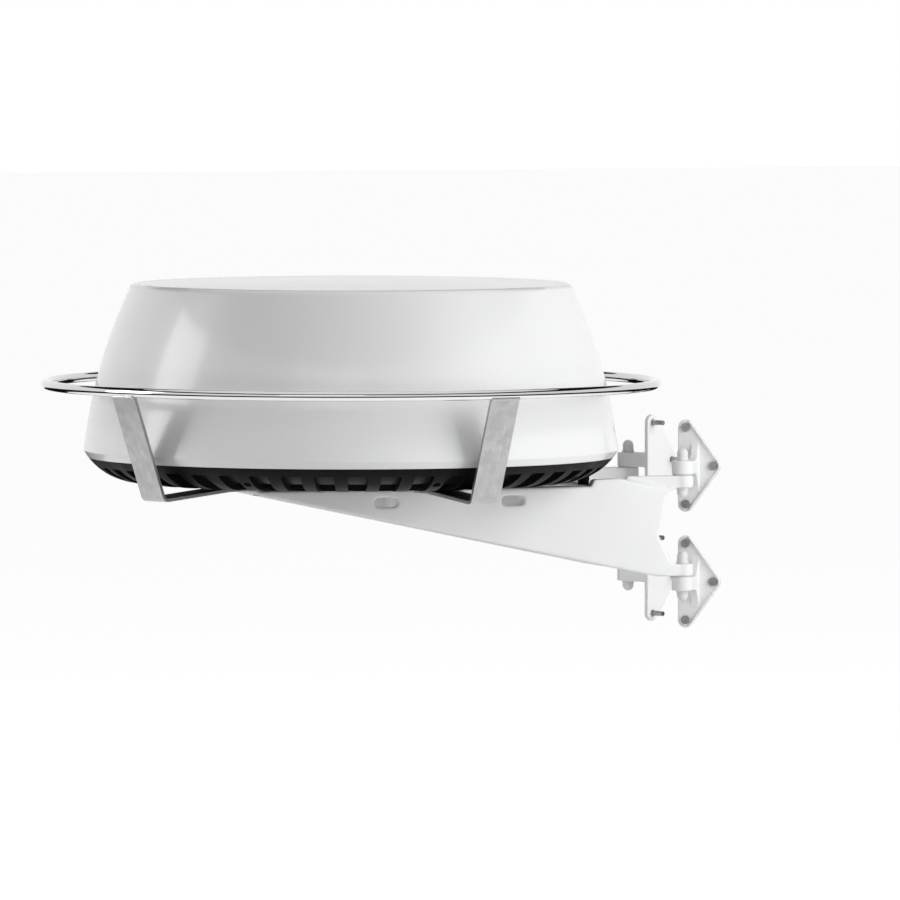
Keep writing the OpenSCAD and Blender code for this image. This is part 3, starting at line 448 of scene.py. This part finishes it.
# The satin black's lighter edges are partly wear and partly a painted edge highlight.
SATIN_BLACK = Finish("satin_black", (0.004, 0.0043, 0.0048), 0.5, drift=0.12, drift_scale=40.0,
                     grain_scale=1800.0, grain_depth=0.00003, edge=0.0008, edge_wear_and_highlight=0.2,
                     worn_and_lit_edge_colour=(0.03, 0.032, 0.035), specular=0.06)
SEAL = Finish("seal_rubber", (0.025, 0.025, 0.025), 0.8, drift=0.15, grain_scale=2500.0, grain_depth=0.00004)
FASTENER = Finish("stainless", (0.6, 0.6, 0.61), 0.28, metallic=1.0, drift=0.08, grain_scale=3000.0,
                  grain_depth=0.00001)
BRASS = Finish("cut_brass", (0.72, 0.53, 0.24), 0.3, metallic=1.0, drift=0.1, grain_scale=2600.0,
               grain_depth=0.00002)
PLATED = Finish("bright_plating", (0.56, 0.56, 0.55), 0.32, metallic=1.0, drift=0.06, grain_scale=2000.0)
SHEET = Finish("pressed_sheet", (0.62, 0.63, 0.64), 0.38, metallic=1.0, drift=0.05, grain_scale=1500.0,
               grain=Grain.ALONG_BEARING, bearing=0.3)
CAST = Finish("machined_casting", (0.55, 0.56, 0.57), 0.42, metallic=1.0, drift=0.1, grain_scale=1400.0,
              grain=Grain.ROUND_AXIS)
GROUND = Finish("ground_steel", (0.66, 0.67, 0.69), 0.16, metallic=1.0, drift=0.04, grain_scale=3500.0,
                grain=Grain.ROUND_AXIS)
CIRCLIP = Finish("spring_steel", (0.06, 0.06, 0.065), 0.4, metallic=0.7, drift=0.15, grain_scale=2500.0)
ACETAL = Finish("natural_acetal", (0.8, 0.77, 0.68), 0.35, drift=0.05, drift_scale=60.0,
                grain_scale=2000.0, dust=0.05)
MOTOR = Finish("motor_enamel", (0.03, 0.03, 0.033), 0.35, drift=0.1, grain_scale=900.0,
               grain_depth=0.00004, edge_wear_and_highlight=0.3)
WAVEGUIDE = Finish("waveguide_plating", (0.7, 0.58, 0.3), 0.25, metallic=1.0, drift=0.08, grain_scale=2200.0)
BOARD = Finish("solder_mask", (0.02, 0.12, 0.055), 0.3, drift=0.2, drift_scale=220.0, grain_scale=1600.0,
               grain_depth=0.00003, edge_wear_and_highlight=0.3, worn_and_lit_edge_colour=(0.5, 0.42, 0.2))
POTTED = Finish("potted_module", (0.025, 0.025, 0.028), 0.5, drift=0.15, drift_scale=80.0,
                grain_scale=1500.0, edge_wear_and_highlight=0.2)
MAGNET = Finish("magnet_plating", (0.45, 0.45, 0.46), 0.25, metallic=1.0, drift=0.08, grain_scale=2500.0)
POLISHED = Finish("polished_tube", (0.66, 0.66, 0.665), 0.05, metallic=1.0, drift=0.015, drift_scale=12.0,
                  grain_scale=1500.0, grain_depth=0.0000012, grain=Grain.ROUND_AXIS, edge=0.0)
WELD = Finish("weld_bead", (0.6, 0.6, 0.6), 0.3, metallic=1.0, drift=0.12, drift_scale=400.0,
              grain_scale=2400.0, grain_depth=0.00004, edge=0.0)
POWDER = Finish("powder_coat", (0.88, 0.883, 0.888), 0.42, drift=0.012, drift_scale=9.0, grain_scale=900.0,
                grain_depth=0.000018, edge=0.0, dust=0.02)
FOOT_COAT = Finish("foot_powder_coat", (0.88, 0.883, 0.888), 0.4, drift=0.014, drift_scale=18.0,
                   grain_scale=1000.0, grain_depth=0.000018, edge=0.0, dust=0.02)
SOCKET_SCREW = Finish("socket_screw", (0.36, 0.36, 0.37), 0.36, metallic=1.0, drift=0.12, grain_scale=2600.0,
                      edge=0.0004, edge_wear_and_highlight=0.5, worn_and_lit_edge_colour=(0.6, 0.6, 0.61))
PIN = Finish("drawn_pin", (0.62, 0.62, 0.63), 0.24, metallic=1.0, drift=0.05, grain_scale=2600.0)
CAP = Finish("moulded_cap", (0.8, 0.8, 0.8), 0.34, drift=0.02, drift_scale=90.0, grain_scale=1400.0,
             grain_depth=0.00001, edge=0.0006, coat=0.2, coat_roughness=0.15)
WASHER = Finish("nylon_washer", (0.7, 0.7, 0.69), 0.5, drift=0.03, grain_scale=1800.0, grain_depth=0.00002)


def strap_steel(name: str, bearing: float) -> Finish:
    """Gives the brushed steel of one strap.

    Args:
        name: The strap's name.
        bearing: Its bearing round the radome, in degrees.

    Returns:
        A finish whose lines run along that strap.
    """
    return Finish("brushed_" + name, (0.43, 0.43, 0.435), 0.34, metallic=1.0, drift=0.06, drift_scale=90.0,
                  grain_scale=2200.0, grain_depth=0.000003, grain=Grain.ALONG_BEARING,
                  bearing=math.radians(bearing), edge=0.0006, edge_wear_and_highlight=0.7, worn_and_lit_edge_colour=(0.85, 0.85, 0.86))


# ---- Dressing --------------------------------------------------------------------------------


def dress(node: str, finish: Finish) -> None:
    """Gives a CAD node its finish and reports it.

    Args:
        node: The node's name.
        finish: The finish that it gets.
    """
    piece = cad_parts[node]
    if not piece.material_slots:
        piece.data.materials.append(None)
    for slot in piece.material_slots:
        slot.link = "OBJECT"
        slot.material = finish.build()
    log.info("dressed %s in %s", node, finish.name)


MERGE_DISTANCE = 0.000005  # metres between points that are one point
CORNER_FACTOR = 0.5  # how far one pass moves a point


def cast(name: str, node: str, body: str, finish: Finish, voxel: float, passes: int) -> None:
    """Stands a softened casting in the place of a sharp CAD node.

    Args:
        name: The casting's name.
        node: The CAD node that it is made from and replaces.
        body: The body that it moves with.
        finish: Its finish.
        voxel: Size of the grid that it is meshed on, in metres.
        passes: How often its corners are smoothed.
    """
    piece = bpy.data.objects.new(name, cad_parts[node].data.copy())
    bpy.context.scene.collection.objects.link(piece)
    weld = piece.modifiers.new("weld", "WELD")
    weld.merge_threshold = MERGE_DISTANCE
    remesh = piece.modifiers.new("grid", "REMESH")
    remesh.mode = "VOXEL"
    remesh.voxel_size = voxel
    remesh.adaptivity = 0.0
    remesh.use_smooth_shade = True
    smooth = piece.modifiers.new("cast_corners", "SMOOTH")
    smooth.factor = CORNER_FACTOR
    smooth.iterations = passes
    bpy.context.view_layer.update()
    mesh = bpy.data.meshes.new_from_object(piece.evaluated_get(bpy.context.evaluated_depsgraph_get()))
    piece.modifiers.clear()
    piece.data = mesh
    mesh.materials.clear()
    mesh.materials.append(finish.build())
    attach(piece, body)
    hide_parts(node)
    log.info("cast %s with %d faces", name, len(mesh.polygons))


@dataclass
class Radome:
    """The sealed case: cover, base, seal and what is fixed through the base."""

    nodes: dict[str, Finish] = field(default_factory=lambda: {
        "dome_cover": GELCOAT, "base_housing": SATIN_BLACK, "perimeter_gasket": SEAL,
        "cover_screws": FASTENER, "mounting_inserts": BRASS, "breather_plug": SATIN_BLACK,
        "cable_inlet": SATIN_BLACK, "inlet_nut": PLATED})

    def build(self) -> None:
        """Dresses the case."""
        for node, finish in self.nodes.items():
            dress(node, finish)


@dataclass
class AntennaDrive:
    """The turning array, its drive and the electronics under it."""

    nodes: dict[str, Finish] = field(default_factory=lambda: {
        "chassis_plate": SHEET, "chassis_screws": FASTENER, "spindle_housing": CAST,
        "bearing_outer_races": GROUND, "bearing_inner_races": GROUND, "bearing_balls": GROUND,
        "antenna_spindle": GROUND, "spindle_circlip": CIRCLIP, "driven_gear": ACETAL,
        "drive_pinion": BRASS, "drive_motor": MOTOR, "motor_shaft": GROUND, "motor_screws": FASTENER,
        "antenna_carrier": CAST, "carrier_screws": FASTENER, "array_tray": SHEET, "array_face": BOARD,
        "rotary_joint_stator": WAVEGUIDE, "rotary_joint_rotor": WAVEGUIDE, "zero_mark_magnet": MAGNET,
        "zero_mark_sensor": POTTED, "control_board": BOARD, "power_module": POTTED,
        "transceiver_box": SHEET, "transceiver_lid": SHEET})

    def build(self) -> None:
        """Dresses the drive."""
        for node, finish in self.nodes.items():
            dress(node, finish)


@dataclass
class Guard:
    """The polished hoop and its four brushed straps.

    Bearings and the bead's drop below the tube's middle are in degrees, lengths in metres. A bead's
    size, ripple, chance and end are shares of its radius, and its out how far it stands off the tube.
    """

    bearings: dict[str, float] = field(default_factory=lambda: {
        "strap_front_port": -153.4, "strap_rear_port": -77.0,
        "strap_front_starboard": 104.0, "strap_rear_starboard": 42.0})
    hoop_radius: float = 0.3093
    tube_radius: float = 0.0049
    hoop_height: float = 0.145
    strap_width: float = 0.032
    bead_radius: float = 0.0017
    bead_drop: float = -52.0
    bead_out: float = 0.3
    bead_rings: int = 40
    bead_sides: int = 10
    bead_size: float = 0.86
    bead_ripple: float = 0.1
    ripple_pace: float = 2.1
    bead_chance: float = 0.05
    bead_end: float = 0.35

    def build(self) -> None:
        """Dresses hoop and straps, and welds them together."""
        dress("guard_hoop", POLISHED)
        for node, bearing in self.bearings.items():
            dress(node, strap_steel(node, bearing))
            self._weld(node.replace("strap", "weld"), bearing)

    def _weld(self, name: str, bearing: float) -> None:
        """Lays the weld bead where a strap meets the tube's underside.

        Args:
            name: The bead's name.
            bearing: The strap's bearing in degrees.
        """
        rings, sides = self.bead_rings, self.bead_sides
        drop = math.radians(self.bead_drop)
        off = self.tube_radius + self.bead_out * self.bead_radius
        reach = self.hoop_radius + off * math.cos(drop)
        level = self.hoop_height + off * math.sin(drop)
        half = 0.5 * self.strap_width / reach
        chance = random.Random(name)
        points, faces = [], []
        for i in range(rings + 1):
            turn = math.radians(bearing) + half * (2 * i / rings - 1)
            ripple = self.bead_ripple * math.sin(i * self.ripple_pace)
            scale = self.bead_radius * (self.bead_size + ripple
                                        + chance.uniform(-self.bead_chance, self.bead_chance))
            scale *= self.bead_end if i in (0, rings) else 1.0
            for j in range(sides):
                swing = math.tau * j / sides
                r = reach + scale * math.cos(swing)
                points.append((RADOME_AXIS_X + r * math.cos(turn), r * math.sin(turn),
                               level + scale * math.sin(swing)))
        for i in range(rings):
            for j in range(sides):
                a, b = i * sides + j, i * sides + (j + 1) % sides
                faces.append((a, b, b + sides, a + sides))
        faces.append(tuple(reversed(range(sides))))
        faces.append(tuple(range(rings * sides, (rings + 1) * sides)))
        mesh = bpy.data.meshes.new(name)
        mesh.from_pydata(points, [], faces)
        mesh.shade_smooth()
        bead = bpy.data.objects.new(name, mesh)
        bpy.context.scene.collection.objects.link(bead)
        mesh.materials.append(WELD.build())
        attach(bead, "bracket")
        log.info("welded %s", name)


@dataclass
class MastBracket:
    """The white casting and what fixes the radome to it.

    The casting is meshed on a grid of voxel metres, and its corners are smoothed in passes.
    """

    nodes: dict[str, Finish] = field(default_factory=lambda: {
        "mast_bracket": POWDER, "radome_bolts": FASTENER})
    voxel: float = 0.0013
    passes: int = 9

    def build(self) -> None:
        """Dresses the casting and its fixings, and softens the casting."""
        for node, finish in self.nodes.items():
            dress(node, finish)
        cast("bracket_casting", "mast_bracket", "bracket", POWDER, self.voxel, self.passes)


@dataclass
class HingedFeet:
    """The four feet, their screws, and the pins that they turn on.

    A foot is meshed on a grid of voxel metres, and its corners are smoothed in passes.
    """

    levels: tuple[str, ...] = ("upper", "lower")
    sides: tuple[str, ...] = ("port", "starboard")
    voxel: float = 0.0007
    passes: int = 7

    def build(self) -> None:
        """Dresses feet, screws, pins, caps and washers, and softens the feet."""
        for level in self.levels:
            for side in self.sides:
                dress(f"foot_{level}_{side}", FOOT_COAT)
                dress(f"screws_{level}_{side}", SOCKET_SCREW)
                body = f"{level}_{side}_foot"
                cast(f"{body}_casting", f"foot_{level}_{side}", body, FOOT_COAT,
                     self.voxel, self.passes)
        dress("hinge_pins", PIN)
        dress("pin_caps", CAP)
        dress("hinge_washers", WASHER)


# ---- Studio ----------------------------------------------------------------------------------


@dataclass(frozen=True)
class Softbox:
    """A lamp that faces the object.

    Azimuth is in degrees to the right of the camera, elevation in degrees above the horizon, distance
    and size in metres and power in watts. Glossy surfaces show it where it is mirrored.
    """

    name: str
    azimuth: float
    elevation: float
    distance: float
    size: tuple[float, float]
    power: float
    mirrored: bool = True


SOFTBOXES = (
    Softbox("key", 62.0, 20.0, 2.6, (1.7, 2.2), 53.0, mirrored=False),
    Softbox("left_edge", -86.0, 10.0, 2.4, (0.9, 2.6), 25.0),
    Softbox("front", -12.0, 30.0, 3.2, (1.6, 1.0), 4.0),
    Softbox("low_fill", 14.0, -7.0, 2.8, (2.6, 0.5), 9.0),
)


@dataclass(frozen=True)
class Band:
    """A dark band round the object: its radius, and its lower and upper edge, in metres."""

    name: str
    radius: float
    low: float
    high: float


BANDS = (Band("card_low_band", 1.25, -0.38, -0.02), Band("card_high_band", 1.6, 1.0, 1.9))
BAND_FACES = 96


@dataclass
class Studio:
    """Floor, white surroundings, lamps, the dark cards that the bright metal mirrors, and the camera.

    Azimuth and tilt are the camera's, in degrees, and its lens is in millimetres. Distances and heights
    are in metres. The floor's glow and the world's light are strengths.
    """

    azimuth: float = 17.0
    tilt: float = 2.8
    distance: float = 12.0
    lens: float = 473.7
    aim_right: float = 0.1003
    aim_height: float = 0.0771
    floor_z: float = -0.43
    world_light: float = 0.22
    floor_half: float = 30.0
    floor_glow: float = 0.79

    def build(self) -> None:
        """Builds the whole studio."""
        self._world()
        self._floor()
        self._lamps()
        self._cards()
        self._camera()

    def _way(self, azimuth: float, elevation: float) -> Vector:
        """Gives a direction away from the object.

        Args:
            azimuth: Degrees to the right of the camera, seen from above.
            elevation: Degrees above the horizon.

        Returns:
            A unit vector in the row frame.
        """
        turn = math.radians(azimuth - self.azimuth)
        rise = math.radians(elevation)
        return Vector((math.sin(turn) * math.cos(rise), -math.cos(turn) * math.cos(rise), math.sin(rise)))

    def _aim(self) -> Vector:
        """Gives the point that the camera looks at."""
        turn = math.radians(self.azimuth)
        return Vector((RADOME_AXIS_X + self.aim_right * math.cos(turn), -self.aim_right * math.sin(turn),
                       self.aim_height))

    def _world(self) -> None:
        """Makes the surroundings: white where they are seen, dimmer where they light."""
        world = bpy.data.worlds.new("white_surroundings")
        bpy.context.scene.world = world
        world.use_nodes = True
        g = Graph(world.node_tree)
        back = world.node_tree.nodes["Background"]
        seen = self._seen(g)
        strength = g.add("ShaderNodeMapRange", {"Value": seen, "To Min": self.world_light, "To Max": 1.0})
        back.inputs["Color"].default_value = (1.0, 1.0, 1.0, 1.0)
        g.tree.links.new(strength.outputs["Result"], back.inputs["Strength"])

    def _seen(self, g: Graph) -> Socket:
        """Adds what is 1 for a ray that shows a surface: camera, mirror or glass.

        Args:
            g: The graph that it goes into.

        Returns:
            The socket.
        """
        path = g.add("ShaderNodeLightPath")
        shown = g.math("MAXIMUM", path.outputs["Is Camera Ray"], path.outputs["Is Glossy Ray"])
        return g.math("MAXIMUM", shown, path.outputs["Is Transmission Ray"])

    def _floor(self) -> None:
        """Makes a wide white floor that still takes the shadow."""
        mesh = bpy.data.meshes.new("floor")
        half = self.floor_half
        corners = [(x * half, y * half, self.floor_z) for x, y in ((-1, -1), (1, -1), (1, 1), (-1, 1))]
        mesh.from_pydata(corners, [], [(0, 1, 2, 3)])
        floor = bpy.data.objects.new("floor", mesh)
        bpy.context.scene.collection.objects.link(floor)
        material = bpy.data.materials.new("floor_white")
        material.use_nodes = True
        g = Graph(material.node_tree)
        shader = material.node_tree.nodes["Principled BSDF"]
        place = g.add("ShaderNodeTexCoord").outputs["Object"]
        share = g.spread(g.noise(place, 3.0, 3.0, 0.5), NOISE_LOW, NOISE_HIGH, 0.0, 1.0)
        tone = g.blend(share, (0.8, 0.8, 0.8), (0.79, 0.79, 0.79))
        g.tree.links.new(tone, shader.inputs["Base Color"])
        shader.inputs["Roughness"].default_value = 0.9
        shader.inputs["Specular IOR Level"].default_value = 0.0
        shader.inputs["Emission Color"].default_value = (1.0, 1.0, 1.0, 1.0)
        glow = g.math("MULTIPLY", self._seen(g), self.floor_glow)
        g.tree.links.new(glow, shader.inputs["Emission Strength"])
        mesh.materials.append(material)

    def _lamps(self) -> None:
        """Adds the key at the right, the edge light at the left, a weak front light and a low fill."""
        for box in SOFTBOXES:
            light = bpy.data.lights.new(box.name, "AREA")
            light.shape = "RECTANGLE"
            light.size, light.size_y = box.size
            light.energy = box.power
            lamp = bpy.data.objects.new(box.name, light)
            bpy.context.scene.collection.objects.link(lamp)
            way = self._way(box.azimuth, box.elevation)
            lamp.visible_glossy = box.mirrored
            lamp.location = self._aim() + way * box.distance
            lamp.rotation_mode = "QUATERNION"
            lamp.rotation_quaternion = way.to_track_quat("Z", "Y")

    def _cards(self) -> None:
        """Adds dark bands that only mirrors see, for the lines along the polished tube."""
        material = bpy.data.materials.new("card_black")
        material.use_nodes = True
        shader = material.node_tree.nodes["Principled BSDF"]
        shader.inputs["Base Color"].default_value = (0.01, 0.01, 0.01, 1.0)
        shader.inputs["Roughness"].default_value = 1.0
        shader.inputs["Specular IOR Level"].default_value = 0.0
        ends = 2 * BAND_FACES
        for band in BANDS:
            turns = [math.tau * i / BAND_FACES for i in range(BAND_FACES)]
            corners = [(RADOME_AXIS_X + band.radius * math.cos(turn), band.radius * math.sin(turn), z)
                       for turn in turns for z in (band.low, band.high)]
            faces = [(i, i + 1, (i + 3) % ends, (i + 2) % ends) for i in range(0, ends, 2)]
            mesh = bpy.data.meshes.new(band.name)
            mesh.from_pydata(corners, [], faces)
            mesh.materials.append(material)
            card = bpy.data.objects.new(band.name, mesh)
            bpy.context.scene.collection.objects.link(card)
            for ray in ("camera", "diffuse", "transmission", "shadow", "volume_scatter"):
                setattr(card, "visible_" + ray, False)

    def _camera(self) -> None:
        """Makes the camera and the plain colour view."""
        data = bpy.data.cameras.new("camera")
        data.lens = self.lens
        data.clip_end = 200.0
        camera = bpy.data.objects.new("camera", data)
        bpy.context.scene.collection.objects.link(camera)
        back = self._way(0.0, self.tilt)
        camera.location = self._aim() + back * self.distance
        camera.rotation_mode = "QUATERNION"
        camera.rotation_quaternion = (-back).to_track_quat("-Z", "Y")
        bpy.context.scene.camera = camera
        bpy.context.scene.view_settings.view_transform = "Standard"


def main() -> None:
    """Builds and dresses the sub-assemblies in order, then the studio."""
    for assembly in (Radome(), AntennaDrive(), Guard(), MastBracket(), HingedFeet()):
        assembly.build()
        log.info("built %s", type(assembly).__name__)
    Studio().build()


if __name__ == "__main__":
    main()
